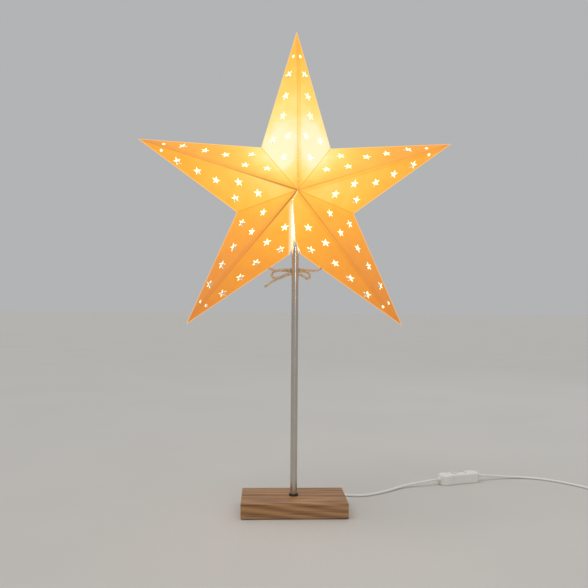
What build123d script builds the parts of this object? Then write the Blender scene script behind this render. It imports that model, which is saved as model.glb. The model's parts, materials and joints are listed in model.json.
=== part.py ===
from build123d import *

import math
import os

# Paper star table lamp: a folded paper star on a steel pole and an oak block, with its lamp
# holder and bulb inside, and a white flex with an in-line switch and a two-pin plug.
# Millimetres, +Z up. The origin is on the pole's axis at the surface that the lamp stands on,
# and the star faces -Y.

# ---------------------------------------------------------------- driving dimensions
# base
BASE_LENGTH = 150.0
BASE_DEPTH = 90.0
BASE_HEIGHT = 21.0
BASE_ROUND = 1.2
PAD_THICKNESS = 1.0
PAD_INSET = 6.0
POCKET_RADIUS = 13.0
POCKET_DEPTH = 12.0
GROOVE_WIDTH = 7.0
GROOVE_HEIGHT = 6.0

# pole
POLE_RADIUS = 5.0
POLE_BORE_RADIUS = 4.0
POLE_FOOT = 7.5
FIT = 0.05
COLLAR_RADIUS = 6.6
COLLAR_HEIGHT = 3.5

# lamp holder, from the bottom of its cup to its rim
HOLDER_FOOT = 381.0
HOLDER_RADIUS = 13.5
CUP_RADIUS = 14.0
CUP_FOOT_RADIUS = 6.5
CUP_SHOULDER = 394.0
CUP_TOP = 399.0
HOLDER_TOP = 450.0
CONTACT_LEVEL = 424.0

# bulb, E14 cap and candle envelope
CAP_RADIUS = 6.9
CAP_LENGTH = 20.0
GLOBE_RADIUS = 17.5
BULB_TOP = 526.0

# star
STAR_CENTRE = 453.6
TIP_RADIUS = 243.0
VALLEY_RADIUS = 88.0
SEAM_RADIUS = 79.0
HALF_DEPTH = 68.0
SEAM_GAP = 2.0
HALF_SECTOR = 34.95
UPPER_SPREAD = 0.45
PAPER = 0.4
PAPER_GAP = 0.05
CREASE_GAP = 0.02
CUTOUT_RADIUS = 7.0
CUTOUT_INNER = 0.4
DOT_RADIUS = 2.4
MOUTH_HALF_WIDTH = 8.5
MOUTH_RISE = 12.0

# tie
TWINE_RADIUS = 1.4
TIE_HOLE_RADIUS = 2.4
TIE_HOLE_FROM_VALLEY = 44.0
KNOT_CENTRE = (0.0, 9.3, 346.2)
KNOT_SIZE = (7.2, 7.2, 10.0)

# flex, switch and plug
FLEX_RADIUS = 2.5
FLEX_LEVEL = 2.6
FLEX_IN_GROOVE = 3.75
BOOT_END = 66.5
COIL_CENTRE = (532.0, 70.0)
COIL_INNER = 18.0
COIL_OUTER = 38.0
COIL_FOOT = 0.6
COIL_HEIGHT = 10.0
SWITCH_LENGTH = 74.0
SWITCH_WIDTH = 28.0
SWITCH_WAIST = 20.5
SWITCH_CORNER = 10.0
SWITCH_EDGE = 3.5
SWITCH_HEIGHT = 17.0
SWITCH_SPLIT = 9.0
SWITCH_CENTRE = (285.3, 163.0)
SWITCH_ANGLE = 19.4
NOZZLE = 5.0
PLUG_WIDTH = 26.0
PLUG_THICKNESS = 13.7
PLUG_LENGTH = 34.0
PIN_SPACING = 18.6
PIN_RADIUS = 2.0
PIN_LENGTH = 19.0
SLEEVE_LENGTH = 10.0

BASE_TOP = PAD_THICKNESS + BASE_HEIGHT
POCKET_TOP = PAD_THICKNESS + POCKET_DEPTH

os.makedirs("parts", exist_ok=True)


def save(piece, label):
    """Label one finished piece and write it as its own node."""
    piece.label = label
    export_step(piece, f"parts/{label}.step")


def ring(inner, outer, low, high):
    """A plain round ring about the pole's axis."""
    with BuildPart() as piece:
        with BuildSketch(Plane.XY.offset(low)):
            Circle(outer)
            Circle(inner, mode=Mode.SUBTRACT)
        extrude(amount=high - low)
    return piece.part


def turned(profile):
    """Revolve a closed (radius, height) outline about the pole's axis."""
    with BuildPart() as piece:
        with BuildSketch(Plane.XZ):
            with BuildLine():
                Polyline(*profile, close=True)
            make_face()
        revolve(axis=Axis.Z)
    return piece.part


# ---------------------------------------------------------------- base
with BuildPart() as base_block:
    with BuildSketch(Plane.XY.offset(PAD_THICKNESS)):
        Rectangle(BASE_LENGTH, BASE_DEPTH)
    extrude(amount=BASE_HEIGHT)
    fillet(base_block.edges(), BASE_ROUND)
    with BuildSketch(Plane.XY.offset(PAD_THICKNESS)):
        Circle(POCKET_RADIUS)
    extrude(amount=POCKET_DEPTH, mode=Mode.SUBTRACT)
    with BuildSketch(Plane.XY):
        Circle(POLE_RADIUS + 2 * FIT)
    extrude(amount=BASE_TOP, mode=Mode.SUBTRACT)
    with BuildSketch(Plane.XY.offset(PAD_THICKNESS)):
        with Locations((0, BASE_DEPTH / 4)):
            Rectangle(GROOVE_WIDTH, BASE_DEPTH / 2)
    extrude(amount=GROOVE_HEIGHT, mode=Mode.SUBTRACT)
save(base_block.part, "base_block")

with BuildPart() as base_pad:
    with BuildSketch(Plane.XY):
        RectangleRounded(BASE_LENGTH - 2 * PAD_INSET, BASE_DEPTH - 2 * PAD_INSET, 4)
    extrude(amount=PAD_THICKNESS)
save(base_pad.part, "base_felt_pad")

WASHER_THICKNESS = 1.5
NUT_THICKNESS = 4.0
NUT_FLATS = 14.0
washer_foot = POCKET_TOP - WASHER_THICKNESS
save(ring(POLE_RADIUS + FIT, 11.0, washer_foot, POCKET_TOP), "pole_washer")

with BuildPart() as pole_nut:
    with BuildSketch(Plane.XY.offset(washer_foot - NUT_THICKNESS)):
        RegularPolygon(NUT_FLATS / 2, 6, major_radius=False)
        Circle(POLE_RADIUS + FIT, mode=Mode.SUBTRACT)
    extrude(amount=NUT_THICKNESS)
save(pole_nut.part, "pole_nut")

with BuildPart() as pole_collar:
    with BuildSketch(Plane.XY.offset(BASE_TOP)):
        Circle(COLLAR_RADIUS)
        Circle(POLE_RADIUS + FIT, mode=Mode.SUBTRACT)
    extrude(amount=COLLAR_HEIGHT)
    top_edges = pole_collar.edges().filter_by(GeomType.CIRCLE).group_by(Axis.Z)[-1]
    chamfer(top_edges.sort_by(SortBy.RADIUS)[-1], 0.7)
save(pole_collar.part, "pole_collar")

# ---------------------------------------------------------------- pole
POLE_TOP = HOLDER_FOOT + 7.0
with BuildPart() as pole_tube:
    with BuildSketch(Plane.XY.offset(POLE_FOOT)):
        Circle(POLE_RADIUS)
        Circle(POLE_BORE_RADIUS, mode=Mode.SUBTRACT)
    extrude(amount=POLE_TOP - POLE_FOOT)
save(pole_tube.part, "pole_tube")

# ---------------------------------------------------------------- lamp holder
WALL = 1.5
cup_floor = HOLDER_FOOT + 4.0
holder_cup = turned([
    (POLE_RADIUS + FIT, HOLDER_FOOT),
    (CUP_FOOT_RADIUS, HOLDER_FOOT),
    (CUP_RADIUS, CUP_SHOULDER),
    (CUP_RADIUS, CUP_TOP),
    (CUP_RADIUS - WALL, CUP_TOP),
    (CUP_RADIUS - WALL, CUP_SHOULDER + 0.5),
    (CUP_FOOT_RADIUS + 1.5, cup_floor + 2.0),
    (POLE_RADIUS + FIT, cup_floor + 2.0),
])
save(holder_cup, "holder_cup")

SPIGOT = 4.0
holder_shell = turned([
    (CUP_RADIUS - WALL - FIT, CUP_TOP - SPIGOT),
    (CUP_RADIUS - WALL - FIT, CUP_TOP),
    (HOLDER_RADIUS, CUP_TOP),
    (HOLDER_RADIUS, HOLDER_TOP - 1.0),
    (HOLDER_RADIUS - 1.0, HOLDER_TOP),
    (10.0, HOLDER_TOP),
    (10.0, HOLDER_TOP - 1.5),
    (11.3, HOLDER_TOP - 3.0),
    (11.3, CUP_TOP - SPIGOT),
])
save(holder_shell, "holder_shell")

CORE_FOOT = CUP_TOP + 2.0
CORE_TOP = CONTACT_LEVEL - 1.5
SCREW_SHELL_INNER = CAP_RADIUS + 0.3
SCREW_SHELL_OUTER = SCREW_SHELL_INNER + 0.5
TERMINAL_OFFSET = 8.0
WIRE_RADIUS = 1.0
with BuildPart() as holder_core:
    with BuildSketch(Plane.XY.offset(CORE_FOOT)):
        Circle(11.2)
        with Locations((TERMINAL_OFFSET, 0), (-TERMINAL_OFFSET, 0)):
            Circle(WIRE_RADIUS + 0.2, mode=Mode.SUBTRACT)
    extrude(amount=CORE_TOP - CORE_FOOT)
    with BuildSketch(Plane.XY.offset(CORE_TOP)):
        Circle(11.2)
        Circle(SCREW_SHELL_OUTER, mode=Mode.SUBTRACT)
    extrude(amount=6.0)
save(holder_core.part, "holder_core")

save(ring(SCREW_SHELL_INNER, SCREW_SHELL_OUTER - FIT, CORE_TOP, HOLDER_TOP - 4.0), "holder_screw_shell")

with BuildPart() as centre_contact:
    with BuildSketch(Plane.XY.offset(CORE_TOP)):
        Circle(2.5)
    extrude(amount=CONTACT_LEVEL - CORE_TOP)
save(centre_contact.part, "holder_centre_contact")

with BuildPart() as terminal_screws:
    for side in (-1, 1):
        screw_plane = Plane(origin=(side * TERMINAL_OFFSET, 0, CORE_FOOT), z_dir=(0, 0, -1))
        with BuildSketch(screw_plane):
            Circle(2.2)
            Circle(WIRE_RADIUS + 0.1, mode=Mode.SUBTRACT)
        extrude(amount=2.0)
save(terminal_screws.part, "holder_terminals")

# ---------------------------------------------------------------- bulb
TIP_FOOT = CONTACT_LEVEL + 0.3
INSULATOR_FOOT = TIP_FOOT + 1.5
CAP_FOOT = INSULATOR_FOOT + 3.0
CAP_TOP = CAP_FOOT + CAP_LENGTH
COLLAR_TOP = CAP_TOP + 14.0

with BuildPart() as bulb_tip:
    with BuildSketch(Plane.XY.offset(TIP_FOOT)):
        Circle(2.4)
    extrude(amount=INSULATOR_FOOT - TIP_FOOT)
save(bulb_tip.part, "bulb_tip_contact")

save(turned([(0, INSULATOR_FOOT), (3.2, INSULATOR_FOOT), (CAP_RADIUS - 1, CAP_FOOT), (0, CAP_FOOT)]),
     "bulb_insulator")

save(ring(CAP_RADIUS - 0.4, CAP_RADIUS, CAP_FOOT, CAP_TOP), "bulb_cap")

bulb_collar = turned([
    (0, CAP_TOP - 6.0),
    (CAP_RADIUS - 0.4, CAP_TOP - 6.0),
    (CAP_RADIUS - 0.4, CAP_TOP),
    (CAP_RADIUS + 1.2, CAP_TOP),
    (12.0, COLLAR_TOP),
    (0, COLLAR_TOP),
])
save(bulb_collar, "bulb_collar")

with BuildPart() as bulb_globe:
    with BuildSketch(Plane.XZ):
        with BuildLine():
            belly = (GLOBE_RADIUS, COLLAR_TOP + 24.0)
            Line((0, COLLAR_TOP), (12.0, COLLAR_TOP))
            Spline((12.0, COLLAR_TOP), belly, (8.0, BULB_TOP - 9.0), (0, BULB_TOP),
                   tangents=[(0.25, 1.0), (-1.0, 0.12)])
            Line((0, BULB_TOP), (0, COLLAR_TOP))
        make_face()
    revolve(axis=Axis.Z)
save(bulb_globe.part, "bulb_globe")


# ---------------------------------------------------------------- star
# Each arm points along its own angle in the star's plane, measured from +X. The two lower arms
# stand a little further apart, because the pole comes up between them. A sheet is a kite of
# paper folded along the arm's outer edge, so it has a front and a back leaf, kept here as two
# solids that meet at the crease. Ten sheets are glued edge to edge along the ridges and the
# valleys, but not along the bottom valley, where the star opens.
ARM_ANGLES = {
    "top": 90.0,
    "right": 90.0 - 2 * HALF_SECTOR - UPPER_SPREAD,
    "lower_right": 90.0 - 4 * HALF_SECTOR,
    "lower_left": 90.0 + 4 * HALF_SECTOR,
    "left": 90.0 + 2 * HALF_SECTOR + UPPER_SPREAD,
}
SEAM_TURN = math.degrees(math.atan2(SEAM_GAP, SEAM_RADIUS))
VALLEYS = {
    "top_right": (90.0 - HALF_SECTOR - UPPER_SPREAD / 2, VALLEY_RADIUS),
    "right": (90.0 - 3 * HALF_SECTOR - UPPER_SPREAD / 2, VALLEY_RADIUS),
    "seam_right": (-90.0 + SEAM_TURN, SEAM_RADIUS),
    "seam_left": (270.0 - SEAM_TURN, SEAM_RADIUS),
    "left": (90.0 + 3 * HALF_SECTOR + UPPER_SPREAD / 2, VALLEY_RADIUS),
    "top_left": (90.0 + HALF_SECTOR + UPPER_SPREAD / 2, VALLEY_RADIUS),
}
SHEETS = {
    "star_top_left_sheet": ("top", "top_left"),
    "star_top_right_sheet": ("top", "top_right"),
    "star_right_upper_sheet": ("right", "top_right"),
    "star_right_lower_sheet": ("right", "right"),
    "star_lower_right_outer_sheet": ("lower_right", "right"),
    "star_lower_right_seam_sheet": ("lower_right", "seam_right"),
    "star_lower_left_seam_sheet": ("lower_left", "seam_left"),
    "star_lower_left_outer_sheet": ("lower_left", "left"),
    "star_left_lower_sheet": ("left", "left"),
    "star_left_upper_sheet": ("left", "top_left"),
}

# the cut-out stars of one leaf: the share of the way along its ridge and along its valley edge,
# both from the middle of the star's face, and the turn of the star in its leaf in degrees
CUTOUTS = [
    (0.66, 0.23, 12),
    (0.50, 0.315, 2),
    (0.355, 0.39, -22),
    (0.26, 0.26, 0),
    (0.13, 0.67, 10),
    (0.10, 0.37, 0),
]
DOT_PLACE = (0.81, 0.10)
STAR_MIDDLE = Vector(0, 0, STAR_CENTRE)
CUTTER_DEPTH = 2.0


def in_star_plane(angle, radius):
    """A point of the star's middle plane."""
    turn = math.radians(angle)
    return STAR_MIDDLE + Vector(math.cos(turn), 0, math.sin(turn)) * radius


def leaf_plane(front, tip, valley):
    """The leaf's own plane, x along its ridge, with its normal pointing out of the star."""
    normal = (tip - front).cross(valley - front).normalized()
    if normal.dot(front - STAR_MIDDLE) < 0:
        normal = normal * -1
    return Plane(origin=front, x_dir=(tip - front).normalized(), z_dir=normal)


def leaf_cutters(front, tip, valley):
    """The punched stars and the dot of one leaf, as prisms through it."""
    plane = leaf_plane(front, tip, valley)
    corner_distances = (CUTOUT_RADIUS, CUTOUT_INNER * CUTOUT_RADIUS) * 5
    outline = [
        (distance * math.cos(math.pi * step / 5), distance * math.sin(math.pi * step / 5))
        for step, distance in enumerate(corner_distances)
    ]

    def spot(along, across):
        return plane.to_local_coords(front + (tip - front) * along + (valley - front) * across)

    hand = 1 if spot(0, 1).Y > 0 else -1
    dot = spot(*DOT_PLACE)
    with BuildPart() as cutters:
        with BuildSketch(plane.offset(-CUTTER_DEPTH)):
            for along, across, turn in CUTOUTS:
                place = spot(along, across)
                with Locations(Location((place.X, place.Y), hand * turn)):
                    Polygon(*outline, align=None)
            with Locations((dot.X, dot.Y)):
                Circle(DOT_RADIUS)
        extrude(amount=2 * CUTTER_DEPTH)
    return cutters.part


def solid_sector(tip, valley, scale):
    """The solid star between one tip and the next valley, scaled about the star's middle."""
    flat_tip = tip - STAR_MIDDLE
    flat_valley = valley - STAR_MIDDLE
    reach = 2.0
    with BuildPart() as sector:
        with BuildSketch(Plane.XZ):
            with BuildLine():
                Polyline(
                    (0, STAR_CENTRE),
                    (flat_tip.X * reach, STAR_CENTRE + flat_tip.Z * reach),
                    (flat_valley.X * reach, STAR_CENTRE + flat_valley.Z * reach),
                    close=True,
                )
            make_face()
        extrude(amount=HALF_DEPTH, both=True)
        for side in (-1, 1):
            front = STAR_MIDDLE + Vector(0, side * HALF_DEPTH, 0) * scale
            face = leaf_plane(front, STAR_MIDDLE + flat_tip * scale, STAR_MIDDLE + flat_valley * scale)
            split(bisect_by=face, keep=Keep.BOTTOM)
    return sector.part


def folded_sheet(arm_angle, valley_angle, valley_radius):
    """One folded paper sheet with its cut-outs: the skin of its sector of the star."""
    tip = in_star_plane(arm_angle, TIP_RADIUS)
    valley = in_star_plane(valley_angle, valley_radius)
    front = STAR_MIDDLE + Vector(0, -HALF_DEPTH, 0)
    back = STAR_MIDDLE + Vector(0, HALF_DEPTH, 0)
    leaf_distance = (front - STAR_MIDDLE).dot(leaf_plane(front, tip, valley).z_dir)
    inner_scale = 1.0 - PAPER / leaf_distance
    middle_turn = math.radians((arm_angle + valley_angle) / 2)
    with BuildPart() as paper:
        add(solid_sector(tip, valley, 1.0))
        add(solid_sector(tip, valley, inner_scale), mode=Mode.SUBTRACT)
        add(leaf_cutters(front, tip, valley), mode=Mode.SUBTRACT)
        add(leaf_cutters(back, tip, valley), mode=Mode.SUBTRACT)
        with Locations(STAR_MIDDLE):
            Box(2 * TIP_RADIUS, CREASE_GAP, 3 * TIP_RADIUS, mode=Mode.SUBTRACT)
    glue = Pos(PAPER_GAP * math.cos(middle_turn), 0, PAPER_GAP * math.sin(middle_turn))
    return glue * paper.part


def tie_hole(side):
    """The middle of the tie's hole in a lower arm's fold, and the way out of the arm there."""
    arm, seam = ("lower_right", "seam_right") if side > 0 else ("lower_left", "seam_left")
    valley = in_star_plane(*VALLEYS[seam])
    fold = (in_star_plane(ARM_ANGLES[arm], TIP_RADIUS) - valley).normalized()
    return valley + fold * TIE_HOLE_FROM_VALLEY, Vector(side * fold.Z, 0, -side * fold.X)


# the mouth round the pole, where the corners of the two seam sheets are cut away
mouth_foot = STAR_CENTRE - SEAM_RADIUS
mouth_depth = HALF_DEPTH * MOUTH_RISE / SEAM_RADIUS
with BuildPart() as mouth_cutter:
    with BuildSketch(Plane.XY.offset(mouth_foot - 3 * MOUTH_RISE)):
        Polygon(
            (MOUTH_HALF_WIDTH, 0), (SEAM_GAP, mouth_depth), (-SEAM_GAP, mouth_depth),
            (-MOUTH_HALF_WIDTH, 0), (-SEAM_GAP, -mouth_depth), (SEAM_GAP, -mouth_depth),
            align=None,
        )
    extrude(amount=4 * MOUTH_RISE)

for sheet_name, (arm, valley_name) in SHEETS.items():
    with BuildPart() as star_sheet:
        add(folded_sheet(ARM_ANGLES[arm], *VALLEYS[valley_name]))
        if valley_name.startswith("seam"):
            add(mouth_cutter.part, mode=Mode.SUBTRACT)
            hole_middle = tie_hole(1 if valley_name == "seam_right" else -1)[0]
            with Locations(hole_middle):
                Sphere(TIE_HOLE_RADIUS, mode=Mode.SUBTRACT)
    save(star_sheet.part, sheet_name)


# ---------------------------------------------------------------- cords
def corner_radii(points):
    """The arc at each corner of a cord's route: 0.45 of the shorter run over tan(half the turn)."""
    radii = []
    for before, at, after in zip(points, points[1:], points[2:]):
        run_in = Vector(*at) - Vector(*before)
        run_out = Vector(*after) - Vector(*at)
        half_turn = math.radians(run_in.get_angle(run_out)) / 2
        radii.append(0.45 * min(run_in.length, run_out.length) / math.tan(half_turn))
    return radii


def cord_tube(points, radius, label, radii=None):
    """A round cord along straight runs joined by tangent arcs."""
    radii = radii or corner_radii(points)
    with BuildPart() as tube:
        with BuildLine() as route:
            FilletPolyline(*points, radius=radii)
        with BuildSketch(Plane(origin=points[0], z_dir=route.line % 0)):
            Circle(radius)
        sweep()
    length = sum(edge.length for edge in route.edges())
    swept = math.pi * radius**2 * length
    print(f"{label}: length {length:.1f}, volume {tube.part.volume:.1f} of {swept:.1f}, radii",
          [round(r, 1) for r in radii])
    return tube.part


# ---------------------------------------------------------------- tie
# Two ends of twine come out of the lower arms' folds and are tied in a bow behind the pole.
knot_y, knot_z = KNOT_CENTRE[1:]
knot_half = KNOT_SIZE[0] / 2
STOPPER_RADIUS = 2.8
for side, name in ((-1, "left"), (1, "right")):
    hole_middle, way_out = tie_hole(side)
    inside = hole_middle - way_out * 5.0
    outside = hole_middle + way_out * 5.0
    strand_route = [
        tuple(inside),
        tuple(outside),
        (side * 10.5, knot_y, knot_z + 3.0),
        (side * knot_half, knot_y, knot_z + 3.0),
    ]
    save(cord_tube(strand_route, TWINE_RADIUS, f"tie {name}"), f"tie_{name}_strand")
    with BuildPart() as stopper:
        with Locations(inside - way_out * (STOPPER_RADIUS + 0.1)):
            Sphere(STOPPER_RADIUS)
    save(stopper.part, f"tie_{name}_stopper_knot")

with BuildPart() as tie_knot:
    with Locations(KNOT_CENTRE):
        Box(*KNOT_SIZE)
    fillet(tie_knot.edges(), 2.0)
save(tie_knot.part, "tie_knot")

LEFT_LOOP = [
    (-knot_half, knot_y, knot_z),
    (-13.0, 12.6, 347.0),
    (-23.0, 13.2, 347.8),
    (-30.5, 13.0, 346.2),
    (-34.5, 12.8, 341.5),
    (-32.5, 12.4, 336.6),
    (-26.0, 11.6, 336.2),
    (-16.0, 9.6, 340.2),
    (-9.0, 7.8, 342.6),
    (-knot_half, 7.3, 342.9),
]
LEFT_END = [
    (-knot_half, 11.2, 342.9),
    (-11.0, 13.5, 341.5),
    (-20.0, 15.8, 337.5),
    (-29.0, 15.5, 333.2),
    (-37.5, 14.5, 328.6),
    (-41.0, 14.0, 325.2),
]
RIGHT_LOOP = [
    (knot_half, knot_y, knot_z),
    (9.5, 12.0, 346.6),
    (16.0, 12.2, 346.0),
    (21.5, 11.4, 343.2),
    (23.0, 11.0, 338.6),
    (19.5, 10.2, 335.8),
    (14.5, 9.2, 337.6),
    (9.0, 7.9, 341.6),
    (knot_half, 7.3, 342.9),
]
RIGHT_END = [
    (knot_half, 11.2, 342.9),
    (9.0, 13.8, 341.6),
    (14.5, 16.0, 339.0),
    (19.0, 17.2, 335.2),
]
for name, loop_route, end_route in (("left", LEFT_LOOP, LEFT_END), ("right", RIGHT_LOOP, RIGHT_END)):
    save(cord_tube(loop_route, TWINE_RADIUS, f"bow {name} loop"), f"tie_{name}_loop")
    save(cord_tube(end_route, TWINE_RADIUS, f"bow {name} end"), f"tie_{name}_end")

# ---------------------------------------------------------------- flex
# inside the lamp: in through the base's rear grip, along the groove and up the pole
GRIP_FLANGE = 1.5
GRIP_BODY = 8.0
FLEX_BEND = 6.0
rear = BASE_DEPTH / 2
wire_fork = CORE_FOOT - 12.0
save(cord_tube([(0, BOOT_END, FLEX_IN_GROOVE), (0, 0, FLEX_IN_GROOVE), (0, 0, wire_fork)],
               FLEX_RADIUS, "flex inside the lamp", [FLEX_BEND]), "flex_inside_lamp")

with BuildPart() as cord_grip:
    with BuildSketch(Plane(origin=(0, rear + GRIP_FLANGE, 0), x_dir=(-1, 0, 0), z_dir=(0, -1, 0))):
        with Locations((0, -FLEX_IN_GROOVE - 0.25)):
            RectangleRounded(10.0, 7.6, 2.0)
    extrude(amount=GRIP_FLANGE)
    with BuildSketch(Plane(origin=(0, rear, 0), x_dir=(-1, 0, 0), z_dir=(0, -1, 0))):
        with Locations((0, -PAD_THICKNESS - GROOVE_HEIGHT / 2)):
            Rectangle(GROOVE_WIDTH - 0.1, GROOVE_HEIGHT - 0.1)
    extrude(amount=GRIP_BODY)
    boot_foot = Plane(origin=(0, rear + GRIP_FLANGE, FLEX_IN_GROOVE), z_dir=(0, 1, 0))
    with BuildSketch(boot_foot):
        Circle(3.5)
    with BuildSketch(boot_foot.offset(BOOT_END - rear - GRIP_FLANGE)):
        Circle(3.0)
    loft()
    with BuildSketch(Plane(origin=(0, BOOT_END, FLEX_IN_GROOVE), z_dir=(0, -1, 0))):
        Circle(FLEX_RADIUS + FIT)
    extrude(amount=BOOT_END, mode=Mode.SUBTRACT)
save(cord_grip.part, "cord_grip")

for side, name in ((-1, "neutral"), (1, "live")):
    wire_route = [
        (side * 1.2, 0, wire_fork + 0.05),
        (side * 1.2, 0, wire_fork + 3.5),
        (side * TERMINAL_OFFSET, 0, CORE_FOOT - 4.5),
        (side * TERMINAL_OFFSET, 0, CORE_FOOT + 4.0),
    ]
    save(cord_tube(wire_route, WIRE_RADIUS, f"{name} wire"), f"holder_{name}_wire")

# on the table: from the grip to the switch, and from the switch to the coil
switch_turn = math.radians(SWITCH_ANGLE)
switch_axis = Vector(math.cos(switch_turn), math.sin(switch_turn), 0)
switch_middle = Vector(*SWITCH_CENTRE, SWITCH_SPLIT)
switch_reach = SWITCH_LENGTH / 2 + NOZZLE
LEAD_ROUTE = [
    (0, BOOT_END, FLEX_IN_GROOVE),
    (2, 86, 3.0),
    (16, 106, FLEX_LEVEL),
    (41, 110, FLEX_LEVEL),
    (62, 95, FLEX_LEVEL),
    (82, 79, FLEX_LEVEL),
    (106, 74, FLEX_LEVEL),
    (128, 83, FLEX_LEVEL),
    (156, 104, FLEX_LEVEL),
    (187, 133, 3.6),
    tuple(switch_middle - switch_axis * (switch_reach + 24) - Vector(0, 0, 1.6)),
    tuple(switch_middle - switch_axis * switch_reach),
]
RUN_ROUTE = [
    tuple(switch_middle + switch_axis * switch_reach),
    tuple(switch_middle + switch_axis * (switch_reach + 21) - Vector(0, 0, 1.8)),
    (373, 191, 3.8),
    (405, 193, FLEX_LEVEL),
    (437, 179, FLEX_LEVEL),
    (460, 157, FLEX_LEVEL),
    (477, 134, FLEX_LEVEL),
    (490, 110, FLEX_LEVEL),
    (496.5, 88, 2.9),
    (COIL_CENTRE[0] - COIL_OUTER + FLEX_RADIUS, COIL_CENTRE[1], COIL_FOOT + FLEX_RADIUS),
]
save(cord_tube(LEAD_ROUTE, FLEX_RADIUS, "flex from base to switch"), "flex_base_to_switch")
save(cord_tube(RUN_ROUTE, FLEX_RADIUS, "flex from switch to coil"), "flex_switch_to_coil")

coil_plane = Plane(origin=(*COIL_CENTRE, COIL_FOOT))
with BuildPart() as flex_coil:
    with BuildSketch(coil_plane):
        Circle(COIL_OUTER)
        Circle(COIL_INNER, mode=Mode.SUBTRACT)
    extrude(amount=COIL_HEIGHT)
    fillet(flex_coil.edges().filter_by(GeomType.CIRCLE), FLEX_RADIUS)
save(flex_coil.part, "flex_coil")

coil_section = Plane(origin=(*COIL_CENTRE, COIL_FOOT + COIL_HEIGHT / 2), x_dir=(0, -1, 0), z_dir=(1, 0, 0))
with BuildPart() as coil_tie:
    with BuildSketch(coil_section):
        with Locations(((COIL_INNER + COIL_OUTER) / 2, 0)):
            RectangleRounded(COIL_OUTER - COIL_INNER + 1.4, COIL_HEIGHT + 1.1, 3.0)
            RectangleRounded(COIL_OUTER - COIL_INNER + 0.4, COIL_HEIGHT + 0.1, 2.4, mode=Mode.SUBTRACT)
    extrude(amount=2.0, both=True)
save(coil_tie.part, "coil_tie")


# ---------------------------------------------------------------- switch
def switch_plane(height):
    """The switch's own axes at one height, x along the flex."""
    return Plane(origin=(*SWITCH_CENTRE, height), x_dir=switch_axis, z_dir=(0, 0, 1))


def switch_outline(inset):
    """The switch's waisted plan outline, drawn in its own axes."""
    half_length = SWITCH_LENGTH / 2 - inset
    half_width = SWITCH_WIDTH / 2 - inset
    half_waist = SWITCH_WAIST / 2 - inset
    with BuildSketch() as outline:
        with BuildLine():
            ThreePointArc((-half_length, half_width), (0, half_waist), (half_length, half_width))
            Line((half_length, half_width), (half_length, -half_width))
            ThreePointArc((half_length, -half_width), (0, -half_waist), (-half_length, -half_width))
            Line((-half_length, -half_width), (-half_length, half_width))
        make_face()
        fillet(outline.vertices(), SWITCH_CORNER - inset)
    return outline.sketch


CASE_WALL = 2.0
NOZZLE_RADIUS = 4.0
NOZZLE_ROOT = 4.0
WINDOW_LENGTH = 26.4
WINDOW_WIDTH = 13.0
ROCKER_LENGTH = 24.0
ROCKER_WIDTH = 12.2
ROCKER_THROW = 14.0
PIVOT_LEVEL = 13.6
PIVOT_RADIUS = 1.0
LUG_OFFSET = 8.2

switch_length_axis = Plane(origin=tuple(switch_middle), x_dir=(0, 0, 1), z_dir=switch_axis)
with BuildPart() as nozzle_bore:
    with BuildSketch(switch_length_axis):
        Circle(NOZZLE_RADIUS + FIT)
    extrude(amount=SWITCH_LENGTH, both=True)

screw_places = [(27.0, 8.5), (-27.0, -8.5)]
with BuildPart() as switch_base:
    with BuildSketch(switch_plane(0)):
        add(switch_outline(0))
    extrude(amount=SWITCH_SPLIT - FIT)
    fillet(switch_base.faces().sort_by(Axis.Z)[0].edges(), 1.5)
    with BuildSketch(switch_plane(CASE_WALL)):
        add(switch_outline(CASE_WALL))
        with Locations(*screw_places):
            Circle(3.2, mode=Mode.SUBTRACT)
    extrude(amount=SWITCH_SPLIT, mode=Mode.SUBTRACT)
    with BuildSketch(switch_plane(0)):
        with Locations(*screw_places):
            Circle(1.6)
    extrude(amount=SWITCH_SPLIT, mode=Mode.SUBTRACT)
    add(nozzle_bore.part, mode=Mode.SUBTRACT)
save(switch_base.part, "switch_base")

with BuildPart() as switch_cover:
    with BuildSketch(switch_plane(SWITCH_SPLIT)):
        add(switch_outline(0))
    extrude(amount=SWITCH_HEIGHT - SWITCH_SPLIT)
    fillet(switch_cover.faces().sort_by(Axis.Z)[-1].edges(), SWITCH_EDGE)
    with BuildSketch(switch_plane(SWITCH_SPLIT)):
        add(switch_outline(CASE_WALL))
        with Locations(*screw_places):
            Circle(3.2, mode=Mode.SUBTRACT)
        with Locations((0, LUG_OFFSET), (0, -LUG_OFFSET)):
            Rectangle(6.0, 2.4, mode=Mode.SUBTRACT)
    extrude(amount=SWITCH_HEIGHT - SWITCH_SPLIT - CASE_WALL, mode=Mode.SUBTRACT)
    with BuildSketch(switch_plane(SWITCH_SPLIT)):
        Rectangle(WINDOW_LENGTH, WINDOW_WIDTH)
    extrude(amount=SWITCH_HEIGHT, mode=Mode.SUBTRACT)
    with BuildSketch(switch_plane(SWITCH_SPLIT)):
        with Locations(*screw_places):
            Circle(1.6)
    extrude(amount=5.0, mode=Mode.SUBTRACT)
    add(nozzle_bore.part, mode=Mode.SUBTRACT)
    pivot_plane = Plane(origin=(*SWITCH_CENTRE, PIVOT_LEVEL), x_dir=switch_axis,
                        z_dir=Vector(0, 0, 1).cross(switch_axis))
    with BuildSketch(pivot_plane):
        Circle(PIVOT_RADIUS + FIT)
    extrude(amount=9.0, both=True, mode=Mode.SUBTRACT)
save(switch_cover.part, "switch_cover")

with BuildPart() as switch_pivot:
    with BuildSketch(pivot_plane):
        Circle(PIVOT_RADIUS)
    extrude(amount=8.8, both=True)
save(switch_pivot.part, "switch_pivot_pin")

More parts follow.
